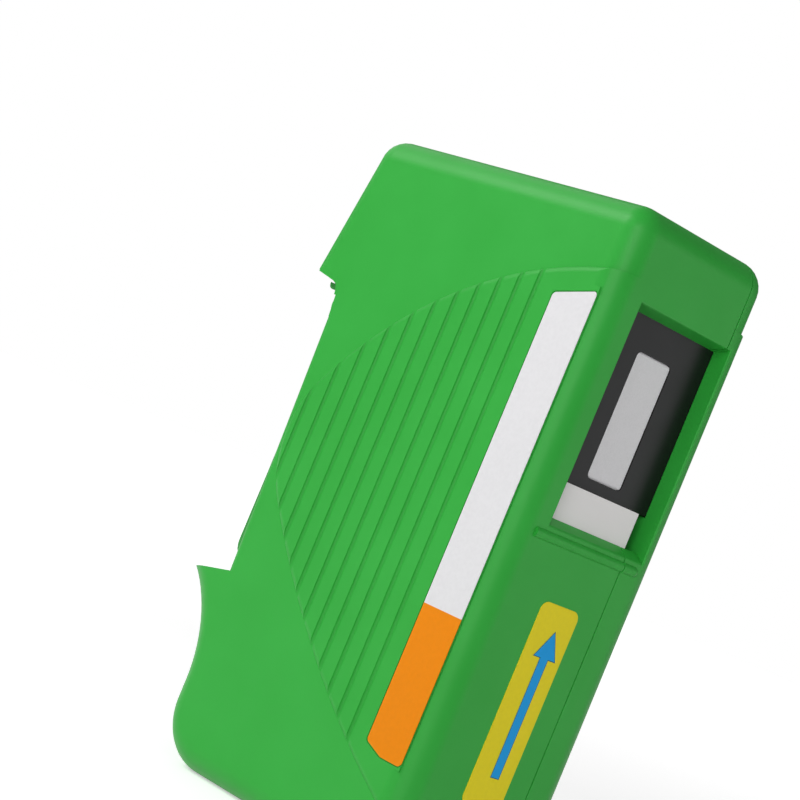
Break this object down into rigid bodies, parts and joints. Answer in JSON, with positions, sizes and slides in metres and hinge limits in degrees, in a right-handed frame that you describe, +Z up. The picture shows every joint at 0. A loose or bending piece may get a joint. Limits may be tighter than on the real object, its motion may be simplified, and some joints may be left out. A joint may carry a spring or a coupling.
{
  "type": "fibre optic cleaning cassette",
  "caption": "Hand-held reel cleaner for fibre optic plugs: a pressed lever opens a shutter over a slotted plate and winds on the cleaning tape.",
  "frame": {"origin": "centre of the flat end on which the case stands, midway between the flat front and back faces", "axes": "+Z up the long axis of the case, +X towards the window side, -Y out of the ribbed front"},
  "size_m": [0.0696, 0.0354, 0.112],
  "materials": {
    "green_case": "satin moulded green plastic with a very fine grain",
    "green_lever": "satin moulded green plastic",
    "steel": "plated steel",
    "spring_steel": "bright spring steel",
    "front_label": "printed film, white with an orange foot",
    "direction_label": "printed film, yellow with a blue arrow",
    "acetal": "natural white acetal",
    "white_shutter": "matt white plastic",
    "black_plate": "matt black plastic",
    "grey_carrier": "dark grey plastic",
    "pad": "soft foam rubber",
    "tape": "fine white cleaning cloth",
    "used_tape": "fine white cleaning cloth, used",
    "reel": "translucent white plastic"
  },
  "bodies": {
    "case": {"front_shell": "green_case", "rear_shell": "green_case", "case_screws": "steel", "front_label": "front_label", "direction_label": "direction_label", "lever_pin": "steel", "lever_spring": "spring_steel", "tape_plate": "black_plate", "pad_carrier": "grey_carrier", "cushion_pad": "pad", "cleaning_tape": "tape", "upper_guide_pin": "steel", "lower_guide_pin": "steel", "anti_reverse_pawl": "spring_steel", "supply_brake_spring": "spring_steel", "reel_retainers": "black_plate"},
    "lever": {"lever": "green_lever", "drive_sector": "acetal"},
    "drive_gear": {"drive_gear": "acetal"},
    "take_up": {"take_up_gear": "acetal", "take_up_reel": "reel", "take_up_tape": "used_tape"},
    "supply": {"supply_reel": "reel", "supply_tape": "tape"},
    "shutter": {"shutter": "white_shutter"}
  },
  "joints": [
    {"name": "lever_press", "type": "hinge", "parent": "case", "child": "lever", "pos_m": [-0.028, 0, 0.0815], "axis": [0, 1, 0], "range_deg": [0, 12.5], "stiffness_Nm_per_rad": 0.25, "springref_deg": 14.9, "deforming": ["lever_spring"]},
    {"name": "drive_turn", "type": "hinge", "parent": "case", "child": "drive_gear", "pos_m": [0.0114, 0, 0.0366], "axis": [0, 1, 0], "range_deg": [-121, 0]},
    {"name": "shutter_slide", "type": "slide", "parent": "case", "child": "shutter", "axis": [0, 0, 1], "range_m": [0, 0.0287]},
    {"name": "take_up_turn", "type": "hinge", "parent": "case", "child": "take_up", "pos_m": [0.00351, 0, 0.02177], "axis": [0, 1, 0], "range_deg": [0, 60.5], "deforming": ["anti_reverse_pawl"]},
    {"name": "supply_turn", "type": "hinge", "parent": "case", "child": "supply", "pos_m": [-0.00103, 0, 0.07529], "axis": [0, 1, 0], "range_deg": [-29.5, 0]}
  ],
  "couplings": [
    {"joint": "drive_turn", "follows": "lever_press", "ratio": -9.6671},
    {"joint": "shutter_slide", "follows": "lever_press", "m_per_rad": 0.13147},
    {"joint": "take_up_turn", "follows": "lever_press", "ratio": 4.8336},
    {"joint": "supply_turn", "follows": "lever_press", "ratio": -2.3477}
  ]
}
